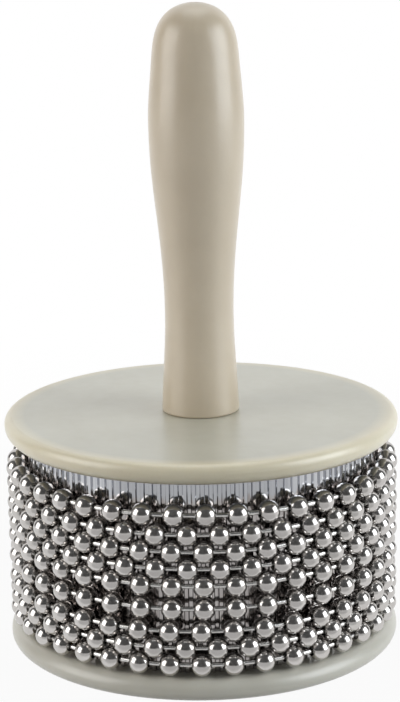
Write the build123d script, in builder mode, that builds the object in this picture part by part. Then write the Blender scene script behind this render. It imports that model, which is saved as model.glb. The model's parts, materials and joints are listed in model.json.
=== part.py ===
"""Cabasa: a ribbed steel drum between two moulded discs, on a moulded handle, with loops of
ball chain that turn round the drum.

Millimetres. The origin is the centre of the underside. +Z runs up the drum's axis into the handle.
"""
import math
import os

from build123d import *

os.makedirs("parts", exist_ok=True)

# Drum core: a moulded tube with a hub for the tie bolt, and webs between the two
core_diameter = 87.8
core_wall = 3.0
hub_wall = 4.7
web_count = 3
web_thickness = 3.0

# Sleeve: ribbed sheet steel rolled round the core, its two ends turned into a slot at the back
sheet_thickness = 0.5
rib_height = 0.5
rib_pitch = 2.1
rib_crest = 0.85
rib_flank = 0.22
seam_gap = 0.4
lip_length = 2.2

# Ball chain: hollow beads with a hole at each end, joined by wire links with a head at each end
bead_diameter = 5.6
bead_wall = 0.4
bead_pitch = 7.73
wire_diameter = 1.2
link_head_overlap = 0.15
link_head_thickness = 0.6

# Groups of loops, from the top down. Each is a run of loops nested in each other's gaps, with the
# turn of its first loop from the front in degrees, and the gap to the group above. The gap is below
# zero where beads lie part of the way into the gaps of that group.
group_counts = [1, 4, 1, 3]
group_turn_angles = [0.85, 4.66, 0.02, -0.88]
group_gaps = [0.0, -0.7, 0.2, 0.2]
front_angle = -90
nested_gap = 0.2
room_below_chain = 0.49
room_above_chain = 4.95

# Discs: one plate form, turned over for the bottom, its edge rounder on the side towards the drum
disc_thickness = 5.45
outer_edge_round = 2.1
inner_edge_round = 3.2
spigot_wall = 2.5
spigot_height = 5.0

# Tie bolt, its washer and the recess in the bottom disc that holds its head
bolt_diameter = 6.0
bolt_reach = 19.0
bolt_tip_chamfer = 0.75
bolt_head_diameter = 10.5
bolt_head_height = 3.3
bolt_head_round = 1.1
bolt_head_recess = 0.6
key_socket_width = 4.0
key_socket_depth = 2.0
washer_diameter = 14.0
washer_thickness = 1.2
boss_wall = 3.0
boss_floor = 2.5

# Handle outline: radii from the base to the shoulder, and the heights between them
base_radius = 10.0
waist_radius = 8.8
rise_radius = 9.83
belly_radius = 12.07
neck_radius = 11.06
shoulder_radius = 9.22
base_to_waist = 25.0
waist_to_rise = 20.0
rise_to_belly = 30.0
belly_to_neck = 14.5
neck_to_shoulder = 9.4
shoulder_to_tip = 5.4
base_flare = 0.04
base_edge_round = 0.6

# The handle's hexagonal key in the top disc, and the threaded insert inside the handle
handle_key_wall = 1.9
handle_key_gap = 0.6
insert_wall = 1.4
insert_length = 16.0
insert_depth = 2.0
bore_spare = 2.0

# Clearances
fit_clearance = 0.1
bolt_clearance = 0.3
chain_clearance = 0.2
hole_clearance = 0.15

# Radii that follow from the sizes above, from the bolt outwards
bolt_radius = bolt_diameter / 2
bolt_hole_radius = bolt_radius + bolt_clearance
hub_radius = bolt_hole_radius + hub_wall
insert_radius = bolt_radius + fit_clearance + insert_wall
insert_bore_radius = insert_radius + fit_clearance
handle_key_radius = insert_bore_radius + handle_key_wall
recess_radius = washer_diameter / 2 + bolt_clearance
boss_radius = recess_radius + boss_wall
core_radius = core_diameter / 2
core_bore_radius = core_radius - core_wall
sleeve_inner_radius = core_radius + fit_clearance
sleeve_valley_radius = sleeve_inner_radius + sheet_thickness
sleeve_crest_radius = sleeve_valley_radius + rib_height
bead_radius = bead_diameter / 2
loop_radius = sleeve_crest_radius + chain_clearance + bead_radius
disc_radius = loop_radius + bead_radius

# The chain's step round the drum. A link lies on the chord between two bead centres, so it leans
# in each bead's hole by half a step.
bead_count = round(2 * math.pi * loop_radius / bead_pitch)
bead_step = 360 / bead_count
bead_spacing = 2 * loop_radius * math.sin(math.pi / bead_count)
link_lean = bead_radius * math.tan(math.pi / bead_count)
bead_hole_radius = wire_diameter / 2 + link_lean + hole_clearance
link_head_radius = bead_hole_radius + link_head_overlap

# How far a nested loop lies below the one above: its beads stay clear of that loop's beads, and
# of the beads in line with them one loop further up.
bead_reach = bead_diameter + nested_gap
slanting_drop = math.sqrt(max(bead_reach ** 2 - (bead_spacing / 2) ** 2, 0))
nested_drop = max(slanting_drop, bead_reach / 2)


def lay_out_loops():
    """Depth below the first loop and turn from the front, for every loop from the top down."""
    places = []
    depth = 0.0
    for count, first_turn, gap_above in zip(group_counts, group_turn_angles, group_gaps):
        if places:
            depth += bead_diameter + gap_above
        for place_in_group in range(count):
            if place_in_group:
                depth += nested_drop
            stagger = bead_step / 2 * (place_in_group % 2)
            places.append((depth, first_turn + stagger))
    return places


loop_places = lay_out_loops()
stack_depth = loop_places[-1][0]

# Heights, from the underside up
recess_depth = bolt_head_recess + bolt_head_height + washer_thickness
boss_height = recess_depth + boss_floor - disc_thickness
drum_bottom = disc_thickness
drum_height = room_below_chain + bead_diameter + stack_depth + room_above_chain
drum_top = drum_bottom + drum_height
top_loop_height = drum_bottom + room_below_chain + bead_radius + stack_depth
handle_bottom = drum_top + disc_thickness
insert_bottom = handle_bottom + insert_depth
insert_top = insert_bottom + insert_length
bolt_tip = handle_bottom + bolt_reach


def save(builder, name):
    """Names a finished piece and writes its STEP file."""
    builder.part.label = name
    export_step(builder.part, f"parts/{name}.step")


def on_circle(radius, angle):
    """Point on a circle round the drum's axis, with the angle in degrees."""
    return (radius * math.cos(math.radians(angle)), radius * math.sin(math.radians(angle)))


# Drum core
with BuildPart() as drum_core:
    with BuildSketch(Plane.XY.offset(drum_bottom)):
        Circle(core_radius)
        Circle(core_bore_radius, mode=Mode.SUBTRACT)
        with PolarLocations(0, web_count, start_angle=90):
            Rectangle(core_radius - core_wall / 2, web_thickness, align=(Align.MIN, Align.CENTER))
        Circle(hub_radius)
        Circle(bolt_hole_radius, mode=Mode.SUBTRACT)
    extrude(amount=drum_height)
    # pocket for the bottom disc's boss
    with BuildSketch(Plane.XY.offset(drum_bottom)):
        Circle(boss_radius + fit_clearance)
    extrude(amount=boss_height, mode=Mode.SUBTRACT)
    # slot that takes the sleeve's turned-in ends
    slot_floor = sleeve_inner_radius - lip_length - fit_clearance
    slot_width = seam_gap + 2 * sheet_thickness + 2 * fit_clearance
    with BuildSketch(Plane.XY.offset(drum_bottom)):
        with Locations((0, slot_floor)):
            Rectangle(slot_width, core_radius - slot_floor + fit_clearance, align=(Align.CENTER, Align.MIN))
    extrude(amount=drum_height, mode=Mode.SUBTRACT)
save(drum_core, "drum_core")


# Sleeve
def ribbed_side(crest_radius, inset, first_angle, rib_step, rib_count):
    """Points along one side of the ribbed sheet: each rib has a flat crest and two flanks.

    The inside of the sheet is inset along its bends, so that its flanks are as thick as the rest.
    """
    half_crest = math.degrees((rib_crest / 2 - inset) / crest_radius)
    half_foot = math.degrees((rib_crest / 2 + rib_flank - inset) / crest_radius)
    points = []
    for rib in range(rib_count):
        middle = first_angle + (rib + 0.5) * rib_step
        points.append(on_circle(crest_radius - rib_height, middle - half_foot))
        points.append(on_circle(crest_radius, middle - half_crest))
        points.append(on_circle(crest_radius, middle + half_crest))
        points.append(on_circle(crest_radius - rib_height, middle + half_foot))
    return points


def sleeve_lip(side, angle):
    """Points down one end of the sheet, where it is turned into the slot, from outside to inside."""
    land = seam_gap / 2 + sheet_thickness
    lip_end = sleeve_inner_radius - lip_length
    return [
        on_circle(sleeve_valley_radius, angle),
        (side * seam_gap / 2, sleeve_valley_radius),
        (side * seam_gap / 2, lip_end),
        (side * land, lip_end),
        on_circle(sleeve_inner_radius, angle),
    ]


def sleeve_outline():
    """The rolled sheet in plan, as a closed run of points."""
    seam_angle = math.degrees(math.asin((seam_gap / 2 + sheet_thickness) / sleeve_inner_radius))
    rib_count = round(2 * math.pi * sleeve_valley_radius / rib_pitch)
    rib_step = (360 - 2 * seam_angle) / rib_count
    first_angle = 90 + seam_angle
    last_angle = 450 - seam_angle
    bend_inset = sheet_thickness * math.tan(math.atan2(rib_height, rib_flank) / 2)
    outside = ribbed_side(sleeve_crest_radius, 0, first_angle, rib_step, rib_count)
    inside_crest = sleeve_crest_radius - sheet_thickness
    inside = ribbed_side(inside_crest, bend_inset, first_angle, rib_step, rib_count)
    return outside + sleeve_lip(1, last_angle) + inside[::-1] + sleeve_lip(-1, first_angle)[::-1]


with BuildPart() as drum_sleeve:
    with BuildSketch(Plane.XY.offset(drum_bottom + fit_clearance)):
        with BuildLine():
            Polyline(sleeve_outline(), close=True)
        make_face()
    extrude(amount=drum_height - 2 * fit_clearance)
save(drum_sleeve, "drum_sleeve")


# Discs
def disc_plate(inner_face, inwards):
    """A round plate, and a ring on its inner face that drops between the core's webs."""
    ring_radius = core_bore_radius - fit_clearance
    web_slot = web_thickness + 2 * fit_clearance
    with BuildPart() as plate:
        with BuildSketch(Plane.XY.offset(inner_face)):
            Circle(disc_radius)
        extrude(amount=-inwards * disc_thickness)
        outer_rim, inner_rim = edges().filter_by(GeomType.CIRCLE).sort_by(Axis.Z)[::inwards]
        fillet(outer_rim, outer_edge_round)
        fillet(inner_rim, inner_edge_round)
        with BuildSketch(Plane.XY.offset(inner_face)):
            Circle(ring_radius)
            Circle(ring_radius - spigot_wall, mode=Mode.SUBTRACT)
            with PolarLocations(0, web_count, start_angle=90):
                Rectangle(core_radius, web_slot, align=(Align.MIN, Align.CENTER), mode=Mode.SUBTRACT)
        extrude(amount=inwards * spigot_height)
    return plate.part


with BuildPart() as top_disc:
    add(disc_plate(drum_top, -1))
    with BuildSketch(Plane.XY.offset(drum_top)):
        RegularPolygon(handle_key_radius + fit_clearance, 6, major_radius=False)
    extrude(amount=disc_thickness, mode=Mode.SUBTRACT)
save(top_disc, "top_disc")

with BuildPart() as bottom_disc:
    add(disc_plate(drum_bottom, 1))
    with BuildSketch(Plane.XY.offset(drum_bottom)):
        Circle(boss_radius)
    extrude(amount=boss_height)
    with BuildSketch(Plane.XY):
        Circle(recess_radius)
    extrude(amount=recess_depth, mode=Mode.SUBTRACT)
    with BuildSketch(Plane.XY):
        Circle(bolt_hole_radius)
    extrude(amount=drum_bottom + boss_height, mode=Mode.SUBTRACT)
save(bottom_disc, "bottom_disc")

# Tie bolt and its washer
head_top = bolt_head_recess + bolt_head_height
with BuildPart() as tie_bolt:
    with BuildSketch(Plane.XY.offset(bolt_head_recess)):
        Circle(bolt_head_diameter / 2)
    extrude(amount=bolt_head_height)
    fillet(edges().sort_by(Axis.Z)[0], bolt_head_round)
    with BuildSketch(Plane.XY.offset(bolt_head_recess)):
        RegularPolygon(key_socket_width / 2, 6, major_radius=False)
    extrude(amount=key_socket_depth, mode=Mode.SUBTRACT)
    with BuildSketch(Plane.XY.offset(head_top)):
        Circle(bolt_radius)
    extrude(amount=bolt_tip - head_top)
    chamfer(edges().sort_by(Axis.Z)[-1], bolt_tip_chamfer)
save(tie_bolt, "tie_bolt")

with BuildPart() as tie_washer:
    with BuildSketch(Plane.XY.offset(head_top)):
        Circle(washer_diameter / 2)
        Circle(bolt_radius + fit_clearance, mode=Mode.SUBTRACT)
    extrude(amount=washer_thickness)
save(tie_washer, "tie_washer")

# Handle: a round grip with a blind bore for the insert and the end of the bolt
waist_height = handle_bottom + base_to_waist
rise_height = waist_height + waist_to_rise
belly_height = rise_height + rise_to_belly
neck_height = belly_height + belly_to_neck
shoulder_height = neck_height + neck_to_shoulder
handle_top = shoulder_height + shoulder_to_tip
key_bottom = drum_top + handle_key_gap
bore_top = max(bolt_tip, insert_top) + bore_spare

with BuildPart() as handle:
    with BuildSketch(Plane.XZ):
        with BuildLine():
            grip = Spline(
                (base_radius, handle_bottom),
                (waist_radius, waist_height),
                (rise_radius, rise_height),
                (belly_radius, belly_height),
                tangents=((-base_flare, 1), (0, 1)),
            )
            end = Spline(
                grip @ 1,
                (neck_radius, neck_height),
                (shoulder_radius, shoulder_height),
                (0, handle_top),
                tangents=((0, 1), (-1, 0)),
            )
            Polyline(end @ 1, (0, handle_bottom), grip @ 0)
        make_face()
    revolve(axis=Axis.Z)
    fillet(edges().filter_by(GeomType.CIRCLE).sort_by(Axis.Z)[0], base_edge_round)
    with BuildSketch(Plane.XY.offset(key_bottom)):
        RegularPolygon(handle_key_radius, 6, major_radius=False)
    extrude(amount=handle_bottom - key_bottom)
    with BuildSketch(Plane.XY.offset(key_bottom)):
        Circle(insert_bore_radius)
    extrude(amount=insert_top - key_bottom, mode=Mode.SUBTRACT)
    with BuildSketch(Plane.XY.offset(insert_top)):
        Circle(bolt_hole_radius)
    extrude(amount=bore_top - insert_top, mode=Mode.SUBTRACT)
save(handle, "handle")

with BuildPart() as handle_insert:
    with BuildSketch(Plane.XY.offset(insert_bottom)):
        Circle(insert_radius)
        Circle(bolt_radius + fit_clearance, mode=Mode.SUBTRACT)
    extrude(amount=insert_length)
save(handle_insert, "handle_insert")

# One bead, with the chain running along Y through its two holes
cavity_radius = bead_radius - bead_wall
rim_outside = math.sqrt(bead_radius ** 2 - bead_hole_radius ** 2)
rim_inside = math.sqrt(cavity_radius ** 2 - bead_hole_radius ** 2)
with BuildPart() as bead:
    with BuildSketch():
        with BuildLine():
            outside = ThreePointArc(
                (bead_hole_radius, rim_outside), (bead_radius, 0), (bead_hole_radius, -rim_outside)
            )
            inside = ThreePointArc(
                (bead_hole_radius, -rim_inside), (cavity_radius, 0), (bead_hole_radius, rim_inside)
            )
            Line(outside @ 1, inside @ 0)
            Line(inside @ 1, outside @ 0)
        make_face()
    revolve(axis=Axis.Y)

# One link along Y. Its heads sit just inside the cavities of the two beads that it joins.
head_reach = math.sqrt((cavity_radius - fit_clearance) ** 2 - link_head_radius ** 2)
head_middle = bead_spacing / 2 - head_reach + link_head_thickness / 2
link_length = 2 * head_middle + link_head_thickness
with BuildPart() as link:
    with BuildSketch():
        Rectangle(wire_diameter / 2, link_length, align=(Align.MIN, Align.CENTER))
        with Locations((0, head_middle), (0, -head_middle)):
            Rectangle(link_head_radius, link_head_thickness, align=(Align.MIN, Align.CENTER))
    revolve(axis=Axis.Y)

# Every loop: a ring of beads, and a ring of links on the chords between them
link_radius = loop_radius * math.cos(math.pi / bead_count)
for number, (depth, turn) in enumerate(loop_places, start=1):
    loop_plane = Plane.XY.offset(top_loop_height - depth)
    first_bead = turn + front_angle
    with BuildPart(loop_plane) as loop_beads:
        with PolarLocations(loop_radius, bead_count, start_angle=first_bead):
            add(bead.part)
    save(loop_beads, f"chain_loop_{number}_beads")
    with BuildPart(loop_plane) as loop_links:
        with PolarLocations(link_radius, bead_count, start_angle=first_bead + bead_step / 2):
            add(link.part)
    save(loop_links, f"chain_loop_{number}_links")

print(f"{bead_count} beads a loop, loops at {[round(top_loop_height - d, 2) for d, _ in loop_places]}")
print(f"disc diameter {2 * disc_radius:.2f}, drum height {drum_height:.2f}, overall height {handle_top:.2f}")
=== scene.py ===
"""Cabasa in a plain studio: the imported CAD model, with finer chain beads and procedural materials.

Metres, in the CAD model's own frame: the origin is the centre of the underside, +Z runs up the
handle, and the camera looks from -Y.
"""
import json
import math

import bpy
import numpy as np
from mathutils import Matrix, Vector

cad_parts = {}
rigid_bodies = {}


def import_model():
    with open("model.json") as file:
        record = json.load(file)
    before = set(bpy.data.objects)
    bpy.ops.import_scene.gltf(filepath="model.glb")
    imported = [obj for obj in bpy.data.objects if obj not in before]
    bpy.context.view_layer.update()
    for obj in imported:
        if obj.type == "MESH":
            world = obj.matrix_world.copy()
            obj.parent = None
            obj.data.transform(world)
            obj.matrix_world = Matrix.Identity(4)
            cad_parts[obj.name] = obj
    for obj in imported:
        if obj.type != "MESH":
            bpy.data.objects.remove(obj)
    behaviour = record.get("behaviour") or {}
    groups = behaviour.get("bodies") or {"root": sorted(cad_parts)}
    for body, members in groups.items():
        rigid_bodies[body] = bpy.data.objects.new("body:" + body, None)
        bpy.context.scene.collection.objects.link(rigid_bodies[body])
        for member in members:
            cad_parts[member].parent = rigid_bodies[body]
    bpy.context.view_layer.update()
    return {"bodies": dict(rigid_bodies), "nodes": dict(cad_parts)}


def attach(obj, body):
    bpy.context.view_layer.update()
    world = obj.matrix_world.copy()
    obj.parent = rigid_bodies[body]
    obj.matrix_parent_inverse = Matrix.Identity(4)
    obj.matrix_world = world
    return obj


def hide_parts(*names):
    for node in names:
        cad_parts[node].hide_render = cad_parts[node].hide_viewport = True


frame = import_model()
scene = bpy.context.scene
scene.view_settings.view_transform = "Standard"

# Camera, as fitted to the outlines of the two discs and the handle
CAMERA_ELEVATION = math.radians(13.968)
CAMERA_DISTANCE = 0.547276
CAMERA_AIM = Vector((0.000028, 0.0, 0.075466))
CAMERA_ROLL = math.radians(-0.932)
CAMERA_LENS = 109.08
CAMERA_NEAR = 0.01
SENSOR_SIZE = 36.0

# Floor: its size, and how much light its white and grey parts return
FLOOR_RADIUS = 8.0
FLOOR_SIDES = 96
FLOOR_DROP = 0.0002
FLOOR_WHITE = 0.86
FLOOR_GREY = 0.58

# Grey part of the floor: where it begins along Y, and how far it reaches to either side of -Y
GREY_STARTS = -0.045
GREY_IS_FULL = -0.065
GREY_HALF_ANGLE = math.radians(42)
GREY_END_ANGLE = math.radians(66)

# Floor near the object, between two radii: painted shade that returns less light, and less lifted to
# white
NEAR_RADIUS = 0.08
FAR_RADIUS = 0.34
NEAR_SHADE = 0.38
NEAR_GLOW = 0.95
FRONT_GLOW = 0.60

# World, the dark flag behind the camera, and the point that the lights face
WORLD_FILL = 0.28
FLAG_RADIUS = 1.7
FLAG_GREY = 0.30
FLAG_HALF_WIDTH = 128
FLAG_FOOT = 1.0
FLAG_COLUMNS = 40
FLAG_ROWS = 20
LIGHT_AIM = Vector((0.0, 0.0, 0.07))

# Ivory plastic, as a deep and a pale tint, in copies of one plastic tinted apart as painted light
# and
# shade: the handle is pinker than the discs, the top disc's edge is painted lighter and creamier,
# and the bottom disc is greyer
HANDLE_TINTS = (0.590, 0.500, 0.375), (0.655, 0.563, 0.430)
FACE_TINTS = (0.535, 0.520, 0.430), (0.590, 0.580, 0.490)
LIT_EDGE_TINTS = (0.750, 0.680, 0.505), (0.800, 0.740, 0.565)
FOOT_TINTS = (0.575, 0.555, 0.480), (0.635, 0.620, 0.545)
SPECK_TINT = (0.56, 0.49, 0.37)
LIT_EDGE_STARTS = 0.0455
LIT_EDGE_IS_FULL = 0.0495

# Painted shade on the inside of a bead and the lips of its holes, as seen through them
BEAD_INSIDE_SHADE = (0.11, 0.085, 0.07)

# Height below which the sleeve, behind the chain, is warmer and more streaked, and how far that
# limit is blurred
BEHIND_CHAIN_TO = 0.0488
BEHIND_CHAIN_BLUR = 0.0012

# Chain beads: wall and hole as in the CAD model, and how finely they are drawn
BEAD_WALL = 0.0004
BEAD_HOLE_RADIUS = 0.00098
BEAD_SIDES = 28
OUTSIDE_STEPS = 16
INSIDE_STEPS = 6
LIP_STEPS = 4


# ---------------------------------------------------------------- camera, light and stage

def direction(azimuth, elevation):
    """Unit vector: azimuth in degrees from the front (-Y) towards +X, elevation above the floor."""
    a, e = math.radians(azimuth), math.radians(elevation)
    return Vector((math.sin(a) * math.cos(e), -math.cos(a) * math.cos(e), math.sin(e)))


def add_camera():
    data = bpy.data.cameras.new("photo_camera")
    data.sensor_width = SENSOR_SIZE
    data.lens = CAMERA_LENS
    data.clip_start = CAMERA_NEAR
    camera = bpy.data.objects.new("photo_camera", data)
    scene.collection.objects.link(camera)
    back = direction(0, math.degrees(CAMERA_ELEVATION))
    look = (-back).to_track_quat("-Z", "Y").to_matrix().to_4x4()
    place = Matrix.Translation(CAMERA_AIM + CAMERA_DISTANCE * back)
    camera.matrix_world = place @ look @ Matrix.Rotation(CAMERA_ROLL, 4, "Z")
    scene.camera = camera


def add_softbox(name, azimuth, elevation, distance, width, height, radiance, colour):
    """A rectangular area light that faces the object, given by the brightness of its face."""
    data = bpy.data.lights.new(name, "AREA")
    data.shape = "RECTANGLE"
    data.size = width
    data.size_y = height
    data.energy = radiance * math.pi * width * height
    data.color = colour
    lamp = bpy.data.objects.new(name, data)
    scene.collection.objects.link(lamp)
    away = direction(azimuth, elevation)
    look = (-away).to_track_quat("-Z", "Y").to_matrix().to_4x4()
    lamp.matrix_world = Matrix.Translation(LIGHT_AIM + distance * away) @ look
    lamp.visible_camera = False


def new_object(name, vertices, faces, material):
    mesh = bpy.data.meshes.new(name)
    mesh.from_pydata(vertices, [], faces)
    mesh.materials.append(material)
    obj = bpy.data.objects.new(name, mesh)
    scene.collection.objects.link(obj)
    return obj


def link_nodes(tree, *pairs):
    for source, target in pairs:
        tree.links.new(source, target)


def math_node(tree, operation, *values):
    node = tree.nodes.new("ShaderNodeMath")
    node.operation = operation
    link_nodes(tree, *zip(values, node.inputs))
    return node.outputs[0]


def kinds_of_ray(tree):
    """Two factors: 1 on rays from the camera, and 1 on mirrored or refracted ones."""
    path = tree.nodes.new("ShaderNodeLightPath").outputs
    mirrored = math_node(tree, "MAXIMUM", path["Is Glossy Ray"], path["Is Transmission Ray"])
    return path["Is Camera Ray"], mirrored


def add_world():
    """White where it is seen, and a weak even fill as light."""
    world = bpy.data.worlds.new("studio_white")
    scene.world = world
    world.use_nodes = True
    tree = world.node_tree
    tree.nodes.clear()
    out = tree.nodes.new("ShaderNodeOutputWorld")
    mix = tree.nodes.new("ShaderNodeMixShader")
    fill = tree.nodes.new("ShaderNodeBackground")
    fill.inputs["Color"].default_value = (1, 1, 1, 1)
    fill.inputs["Strength"].default_value = WORLD_FILL
    white = tree.nodes.new("ShaderNodeBackground")
    white.inputs["Color"].default_value = (1, 1, 1, 1)
    white.inputs["Strength"].default_value = 1.0
    link_nodes(
        tree,
        (math_node(tree, "MAXIMUM", *kinds_of_ray(tree)), mix.inputs[0]),
        (fill.outputs[0], mix.inputs[1]),
        (white.outputs[0], mix.inputs[2]),
        (mix.outputs[0], out.inputs["Surface"]),
    )


def floor_material():
    """Matt, white under, behind and beside the object, grey in front of it, and clear from below.

    It is lit as a matt floor, darkened near the object as painted shade. It is also lifted to white
    where the camera sees it, a little less near the object, where it keeps the shadow. Its mirror
    image in the chrome is lifted less in the grey part.
    """
    material = bpy.data.materials.new("studio_floor")
    material.use_nodes = True
    tree = material.node_tree
    tree.nodes.clear()

    def step(value, start, end, low=0.0, high=1.0):
        """A smooth change from low to high as the value goes from start to end."""
        node = tree.nodes.new("ShaderNodeMapRange")
        node.interpolation_type = "SMOOTHSTEP"
        node.inputs["From Min"].default_value = start
        node.inputs["From Max"].default_value = end
        node.inputs["To Min"].default_value = low
        node.inputs["To Max"].default_value = high
        link_nodes(tree, (value, node.inputs["Value"]))
        return node.outputs["Result"]

    place = tree.nodes.new("ShaderNodeTexCoord").outputs["Object"]
    split = tree.nodes.new("ShaderNodeSeparateXYZ")
    away = tree.nodes.new("ShaderNodeVectorMath")
    away.operation = "LENGTH"
    link_nodes(tree, (place, split.inputs[0]), (place, away.inputs[0]))
    behind = step(split.outputs["Y"], GREY_IS_FULL, GREY_STARTS)
    facing = math_node(tree, "DIVIDE", split.outputs["Y"], away.outputs["Value"])
    beside = step(facing, -math.cos(GREY_HALF_ANGLE), -math.cos(GREY_END_ANGLE))
    white = math_node(tree, "MAXIMUM", behind, beside)
    glow_share = step(away.outputs["Value"], NEAR_RADIUS, FAR_RADIUS, NEAR_GLOW, 1.0)
    shade = step(away.outputs["Value"], NEAR_RADIUS, FAR_RADIUS, NEAR_SHADE, 1.0)
    albedo = math_node(tree, "MULTIPLY", step(white, 0.0, 1.0, FLOOR_GREY, FLOOR_WHITE), shade)
    direct, mirrored = kinds_of_ray(tree)
    mirror_glow = step(white, 0.0, 1.0, FRONT_GLOW, 1.0)
    mirror_share = math_node(tree, "MULTIPLY", mirrored, mirror_glow)
    seen_white = math_node(tree, "MAXIMUM", direct, mirror_share)
    lift = math_node(tree, "MULTIPLY", seen_white, glow_share)

    matt = tree.nodes.new("ShaderNodeBsdfDiffuse")
    glow = tree.nodes.new("ShaderNodeEmission")
    glow.inputs["Color"].default_value = (1, 1, 1, 1)
    glow.inputs["Strength"].default_value = 1.0
    lifted = tree.nodes.new("ShaderNodeMixShader")
    clear = tree.nodes.new("ShaderNodeBsdfTransparent")
    sided = tree.nodes.new("ShaderNodeMixShader")
    geometry = tree.nodes.new("ShaderNodeNewGeometry")
    out = tree.nodes.new("ShaderNodeOutputMaterial")
    link_nodes(
        tree,
        (albedo, matt.inputs["Color"]),
        (lift, lifted.inputs[0]),
        (matt.outputs[0], lifted.inputs[1]),
        (glow.outputs[0], lifted.inputs[2]),
        (geometry.outputs["Backfacing"], sided.inputs[0]),
        (lifted.outputs[0], sided.inputs[1]),
        (clear.outputs[0], sided.inputs[2]),
        (sided.outputs[0], out.inputs["Surface"]),
    )
    return material


def add_floor():
    rim = [direction(360 * k / FLOOR_SIDES, 0) * FLOOR_RADIUS for k in range(FLOOR_SIDES)]
    vertices = [(p.x, p.y, -FLOOR_DROP) for p in rim]
    floor = new_object("studio_floor", vertices, [tuple(range(FLOOR_SIDES))], floor_material())


def add_flag():
    """The dark side of the studio, behind and above the camera, which the chrome mirrors."""
    material = bpy.data.materials.new("studio_flag")
    material.use_nodes = True
    shader = material.node_tree.nodes["Principled BSDF"]
    shader.inputs["Base Color"].default_value = (FLAG_GREY, FLAG_GREY, FLAG_GREY, 1)
    shader.inputs["Roughness"].default_value = 1.0
    vertices = []
    for row in range(FLAG_ROWS + 1):
        for column in range(FLAG_COLUMNS + 1):
            azimuth = FLAG_HALF_WIDTH * (2 * column / FLAG_COLUMNS - 1)
            elevation = FLAG_FOOT + (90 - FLAG_FOOT) * row / FLAG_ROWS
            vertices.append(direction(azimuth, elevation) * FLAG_RADIUS)
    faces = []
    for row in range(FLAG_ROWS):
        for column in range(FLAG_COLUMNS):
            corner = row * (FLAG_COLUMNS + 1) + column
            above = corner + FLAG_COLUMNS + 1
            faces.append((corner, corner + 1, above + 1, above))
    flag = new_object("studio_flag", vertices, faces, material)
    flag.visible_camera = False
    flag.visible_shadow = False


# ---------------------------------------------------------------- materials

class Finish:
    """A principled material under construction, with textures in the object's own coordinates."""

    def __init__(self, name, **constants):
        self.material = bpy.data.materials.new(name)
        self.material.use_nodes = True
        self.tree = self.material.node_tree
        self.shader = self.tree.nodes["Principled BSDF"]
        self.place = self.tree.nodes.new("ShaderNodeTexCoord").outputs["Object"]
        for socket, value in constants.items():
            self.shader.inputs[socket.replace("_", " ")].default_value = value

    def stretched(self, scale):
        mapping = self.tree.nodes.new("ShaderNodeMapping")
        mapping.inputs["Scale"].default_value = scale
        link_nodes(self.tree, (self.place, mapping.inputs["Vector"]))
        return mapping.outputs["Vector"]

    def noise(self, scale, detail=3.0, roughness=0.5, place=None):
        node = self.tree.nodes.new("ShaderNodeTexNoise")
        node.inputs["Scale"].default_value = scale
        node.inputs["Detail"].default_value = detail
        node.inputs["Roughness"].default_value = roughness
        link_nodes(self.tree, (place or self.place, node.inputs["Vector"]))
        return node.outputs["Fac"]

    def ramp(self, factor, *stops):
        """Colours along a factor, as (position, colour)."""
        node = self.tree.nodes.new("ShaderNodeValToRGB")
        band = node.color_ramp
        while len(band.elements) < len(stops):
            band.elements.new(0.5)
        for element, (position, colour) in zip(band.elements, stops):
            element.position = position
            element.color = (*colour, 1)
        link_nodes(self.tree, (factor, node.inputs["Fac"]))
        return node.outputs["Color"]

    def spread(self, factor, low, high, start=0.3, end=0.7):
        """The factor's middle range, from start to end, spread over low to high."""
        node = self.tree.nodes.new("ShaderNodeMapRange")
        node.inputs["From Min"].default_value = start
        node.inputs["From Max"].default_value = end
        node.inputs["To Min"].default_value = low
        node.inputs["To Max"].default_value = high
        link_nodes(self.tree, (factor, node.inputs["Value"]))
        return node.outputs["Result"]

    def height(self):
        split = self.tree.nodes.new("ShaderNodeSeparateXYZ")
        link_nodes(self.tree, (self.place, split.inputs[0]))
        return split.outputs["Z"]

    def radius(self):
        """Distance from the drum's axis."""
        node = self.tree.nodes.new("ShaderNodeVectorMath")
        node.operation = "LENGTH"
        link_nodes(self.tree, (self.stretched((1, 1, 0)), node.inputs[0]))
        return node.outputs["Value"]

    def add(self, first, second):
        node = self.tree.nodes.new("ShaderNodeMath")
        node.operation = "ADD"
        link_nodes(self.tree, (first, node.inputs[0]), (second, node.inputs[1]))
        return node.outputs[0]

    def attribute(self, name):
        node = self.tree.nodes.new("ShaderNodeAttribute")
        node.attribute_name = name
        return node.outputs["Fac"]

    def mix(self, factor, first, second):
        """Two colours mixed by a factor, each given as a socket or as plain numbers."""
        node = self.tree.nodes.new("ShaderNodeMix")
        node.data_type = "RGBA"
        # A mix node's colour sockets share their names with others, so they go by number.
        for socket, value in ((node.inputs[6], first), (node.inputs[7], second)):
            if isinstance(value, tuple):
                socket.default_value = (*value, 1)
            else:
                link_nodes(self.tree, (value, socket))
        link_nodes(self.tree, (factor, node.inputs[0]))
        return node.outputs[2]

    def bump(self, height, depth):
        """Relief of a height that runs from 0 to 1 over a depth in metres."""
        node = self.tree.nodes.new("ShaderNodeBump")
        node.inputs["Strength"].default_value = 1.0
        node.inputs["Distance"].default_value = depth
        link_nodes(self.tree, (height, node.inputs["Height"]))
        return node.outputs["Normal"]

    def feed(self, **sockets):
        for socket, source in sockets.items():
            link_nodes(self.tree, (source, self.shader.inputs[socket.replace("_", " ")]))
        return self.material


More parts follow.
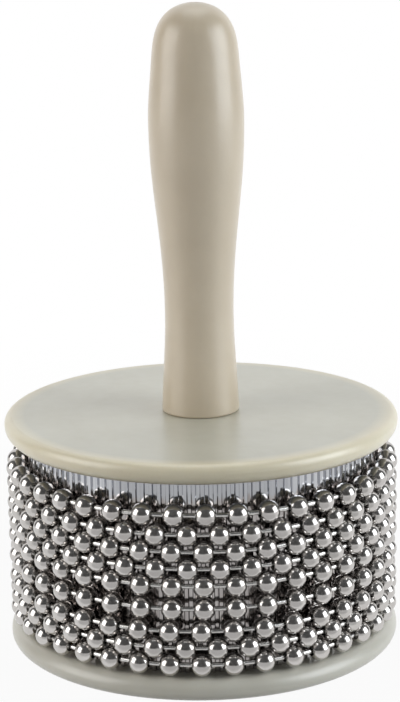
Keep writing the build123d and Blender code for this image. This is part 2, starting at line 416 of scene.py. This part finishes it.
def ivory_plastic(name, middle_tints, lit_edge_tints):
    """Moulded plastic whose tint may change towards the edge of the disc, as painted light on its
    rim.
    """
    finish = Finish(
        name, IOR=1.55, Subsurface_Weight=0.06, Subsurface_Scale=0.0015,
        Coat_Weight=0.6, Coat_Roughness=0.34,
    )
    finish.shader.inputs["Subsurface Radius"].default_value = (1.0, 0.75, 0.45)
    clouds = finish.noise(scale=70, detail=3)
    specks = finish.noise(scale=1500, detail=2)
    middle, edge = (
        finish.ramp(clouds, (0.25, deep), (0.75, pale)) for deep, pale in (middle_tints, lit_edge_tints)
    )
    # Painted light: a lighter, creamier tint on the disc's rim.
    at_lit_edge = finish.spread(finish.radius(), low=0.0, high=1.0, start=LIT_EDGE_STARTS, end=LIT_EDGE_IS_FULL)
    tint = finish.mix(at_lit_edge, middle, edge)
    speckle = finish.spread(specks, low=0.0, high=0.12, start=0.55, end=0.75)
    colour = finish.mix(speckle, tint, SPECK_TINT)
    gloss = finish.spread(finish.noise(scale=320, detail=4), low=0.30, high=0.40)
    peel = finish.bump(finish.noise(scale=650, detail=2), depth=0.000025)
    return finish.feed(Base_Color=colour, Roughness=gloss, Normal=peel)


def bead_steel():
    """Bright plating, scuffed and slightly dented, with painted shade on the inside of the bead."""
    finish = Finish("bead_nickel", Metallic=1.0)
    stain = finish.noise(scale=260, detail=3)
    plating = finish.ramp(stain, (0.3, (0.53, 0.51, 0.49)), (0.7, (0.60, 0.58, 0.565)))
    # Painted shade: the inside of the bead and the lips of its holes are tinted dark.
    colour = finish.mix(finish.attribute("hole_side"), plating, BEAD_INSIDE_SHADE)
    scuffs = finish.noise(scale=1900, detail=5, roughness=0.65)
    gloss = finish.spread(scuffs, low=0.15, high=0.24, start=0.4, end=0.72)
    dents = finish.bump(finish.noise(scale=520, detail=2), depth=0.000012)
    return finish.feed(Base_Color=colour, Roughness=gloss, Normal=dents)


def link_wire():
    finish = Finish("link_drawn", Metallic=1.0)
    stain = finish.noise(scale=700, detail=3)
    colour = finish.ramp(stain, (0.3, (0.62, 0.61, 0.59)), (0.7, (0.74, 0.73, 0.72)))
    gloss = finish.spread(finish.noise(scale=2600, detail=4), low=0.16, high=0.3)
    drawn = finish.bump(finish.noise(scale=2200, detail=2), depth=0.000008)
    return finish.feed(Base_Color=colour, Roughness=gloss, Normal=drawn)


def ribbed_steel():
    """Rolled sheet, cool above the chain, warmer and more streaked behind it."""
    finish = Finish("sleeve_rolled", Metallic=1.0)
    upright = finish.stretched((1.0, 1.0, 0.04))
    streaks = finish.noise(scale=1100, detail=4, roughness=0.6, place=upright)
    clean = finish.ramp(streaks, (0.3, (0.455, 0.465, 0.490)), (0.7, (0.545, 0.555, 0.580)))
    # Behind the chain the sleeve takes a warmer ramp, with darker and brighter streaks.
    behind_chain = finish.ramp(streaks, (0.35, (0.40, 0.37, 0.36)), (0.75, (0.62, 0.60, 0.59)))
    ragged = finish.spread(streaks, low=-BEHIND_CHAIN_BLUR, high=BEHIND_CHAIN_BLUR)
    height = finish.add(finish.height(), ragged)
    above = finish.spread(height, low=0.0, high=1.0, start=BEHIND_CHAIN_TO, end=BEHIND_CHAIN_TO + BEHIND_CHAIN_BLUR)
    colour = finish.mix(above, behind_chain, clean)
    gloss = finish.spread(streaks, low=0.07, high=0.14)
    rolled = finish.noise(scale=900, detail=3, roughness=0.5, place=upright)
    relief = finish.bump(rolled, depth=0.000004)
    return finish.feed(Base_Color=colour, Roughness=gloss, Normal=relief)


def core_plastic():
    finish = Finish("core_moulded", IOR=1.5)
    clouds = finish.noise(scale=120, detail=4)
    colour = finish.ramp(clouds, (0.3, (0.045, 0.045, 0.048)), (0.7, (0.07, 0.07, 0.073)))
    gloss = finish.spread(finish.noise(scale=600, detail=3), low=0.45, high=0.6)
    spark = finish.bump(finish.noise(scale=1800, detail=3), depth=0.00003)
    return finish.feed(Base_Color=colour, Roughness=gloss, Normal=spark)


def bolt_steel():
    finish = Finish("bolt_zinc", Metallic=1.0)
    spangle = finish.noise(scale=420, detail=4)
    colour = finish.ramp(
        spangle,
        (0.3, (0.52, 0.53, 0.55)),
        (0.55, (0.62, 0.62, 0.61)),
        (0.75, (0.66, 0.63, 0.56)),
    )
    gloss = finish.spread(finish.noise(scale=1300, detail=4), low=0.22, high=0.38)
    plated = finish.bump(finish.noise(scale=1500, detail=3), depth=0.00001)
    return finish.feed(Base_Color=colour, Roughness=gloss, Normal=plated)


def insert_brass():
    finish = Finish("insert_turned", Metallic=1.0)
    stain = finish.noise(scale=300, detail=4)
    colour = finish.ramp(stain, (0.3, (0.62, 0.43, 0.17)), (0.7, (0.76, 0.57, 0.27)))
    gloss = finish.spread(finish.noise(scale=1200, detail=4), low=0.2, high=0.36)
    turned = finish.bump(finish.noise(scale=1500, detail=3), depth=0.00001)
    return finish.feed(Base_Color=colour, Roughness=gloss, Normal=turned)


# ---------------------------------------------------------------- chain beads

def bead_places(node):
    """Where a loop's beads lie, from its CAD node: angles, loop radius, height and bead radius."""
    points = np.array([v.co for v in frame["nodes"][node].data.vertices])
    angles = np.sort(np.arctan2(points[:, 1], points[:, 0]))
    gaps = np.diff(np.append(angles, angles[0] + math.tau))
    # The gaps from bead to bead are all alike, and far wider than those between a bead's points.
    ends = np.nonzero(gaps > 0.5 * gaps.max())[0]
    starts = np.roll(ends, 1) + 1
    centres = []
    for start, end in zip(starts, ends):
        first = angles[start % len(angles)]
        centres.append(first + ((angles[end] - first) % math.tau) / 2)
    reach = np.hypot(points[:, 0], points[:, 1])
    height = points[:, 2]
    loop_radius = (reach.max() + reach.min()) / 2
    loop_height = (height.max() + height.min()) / 2
    bead_radius = (height.max() - height.min()) / 2
    return centres, loop_radius, loop_height, bead_radius


def bead_section(radius):
    """Half-section of a bead's wall, as (along the chain, from the chain, share on the hole side).

    The wall runs over the outside, rolls in round one hole, back along the inside and out again.
    """
    lip = BEAD_WALL / 2
    middle = radius - lip
    lip_angle = math.asin((BEAD_HOLE_RADIUS + lip) / middle)
    section = []
    for k in range(OUTSIDE_STEPS + 1):
        angle = lip_angle + (math.pi - 2 * lip_angle) * k / OUTSIDE_STEPS
        section.append((radius * math.cos(angle), radius * math.sin(angle), 0.0))
    for k in range(1, LIP_STEPS):
        turn = math.pi * k / LIP_STEPS
        angle = math.pi - lip_angle
        out, along = lip * math.cos(turn), lip * math.sin(turn)
        section.append((
            (middle + out) * math.cos(angle) - along * math.sin(angle),
            (middle + out) * math.sin(angle) + along * math.cos(angle),
            k / LIP_STEPS,
        ))
    for k in range(INSIDE_STEPS + 1):
        angle = math.pi - lip_angle - (math.pi - 2 * lip_angle) * k / INSIDE_STEPS
        inner = radius - BEAD_WALL
        section.append((inner * math.cos(angle), inner * math.sin(angle), 1.0))
    for k in range(1, LIP_STEPS):
        turn = math.pi * k / LIP_STEPS
        out, along = -lip * math.cos(turn), lip * math.sin(turn)
        section.append((
            (middle + out) * math.cos(lip_angle) + along * math.sin(lip_angle),
            (middle + out) * math.sin(lip_angle) - along * math.cos(lip_angle),
            1 - k / LIP_STEPS,
        ))
    return section


def bead_ring(name, node, material):
    """A loop's beads as one piece: each one a hollow ball with a rolled hole at either end."""
    centres, loop_radius, height, bead_radius = bead_places(node)
    section = bead_section(bead_radius)
    rings = len(section)
    turns = [math.tau * (k + 0.5) / BEAD_SIDES for k in range(BEAD_SIDES)]
    vertices, hole_side, faces = [], [], []
    for centre in centres:
        first = len(vertices)
        outward = Vector((math.cos(centre), math.sin(centre), 0))
        along = Vector((-math.sin(centre), math.cos(centre), 0))
        middle = loop_radius * outward + Vector((0, 0, height))
        for x, r, inside in section:
            for turn in turns:
                across = r * math.cos(turn) * outward + Vector((0, 0, r * math.sin(turn)))
                vertices.append(middle + x * along + across)
                hole_side.append(inside)
        for ring in range(rings):
            below = first + ring * BEAD_SIDES
            above = first + (ring + 1) % rings * BEAD_SIDES
            for side in range(BEAD_SIDES):
                after = (side + 1) % BEAD_SIDES
                faces.append((below + side, above + side, above + after, below + after))
    ring_piece = new_object(name, vertices, faces, material)
    mesh = ring_piece.data
    mesh.polygons.foreach_set("use_smooth", [True] * len(faces))
    # The hole side of the wall marks where the painted shade goes.
    mesh.attributes.new("hole_side", "FLOAT", "POINT").data.foreach_set("value", hole_side)
    return ring_piece


# ---------------------------------------------------------------- the scene

add_camera()
add_world()
add_floor()
add_flag()
add_softbox(
    "softbox_left", azimuth=-74, elevation=19, distance=0.95,
    width=0.72, height=0.74, radiance=3.3, colour=(1.0, 0.985, 0.96),
)
add_softbox(
    "softbox_right", azimuth=74, elevation=19, distance=0.95,
    width=0.72, height=0.74, radiance=4.4, colour=(0.93, 0.97, 1.0),
)
add_softbox(
    "softbox_top", azimuth=180, elevation=80, distance=1.0,
    width=0.70, height=0.70, radiance=1.25, colour=(0.97, 1.0, 1.0),
)

finishes = {
    "ivory_plastic": ivory_plastic("disc_ivory", FACE_TINTS, LIT_EDGE_TINTS),
    "bead_steel": bead_steel(),
    "link_wire": link_wire(),
    "ribbed_steel": ribbed_steel(),
    "core_plastic": core_plastic(),
    "bolt_steel": bolt_steel(),
    "insert_brass": insert_brass(),
}
for cad_piece in frame["nodes"].values():
    for material_slot in cad_piece.material_slots:
        material_slot.material = finishes[material_slot.material.name]
# Copies of the same plastic for the handle and the bottom disc, tinted apart as painted light and
# shade.
for node, tints in (("handle", HANDLE_TINTS), ("bottom_disc", FOOT_TINTS)):
    tinted_copy = ivory_plastic(node + "_ivory", tints, tints)
    frame["nodes"][node].material_slots[0].material = tinted_copy

for body in sorted(frame["bodies"]):
    node = body + "_beads"
    if node in frame["nodes"]:
        beads = bead_ring(body + "_bead_ring", node, finishes["bead_steel"])
        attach(beads, body)
        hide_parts(node)
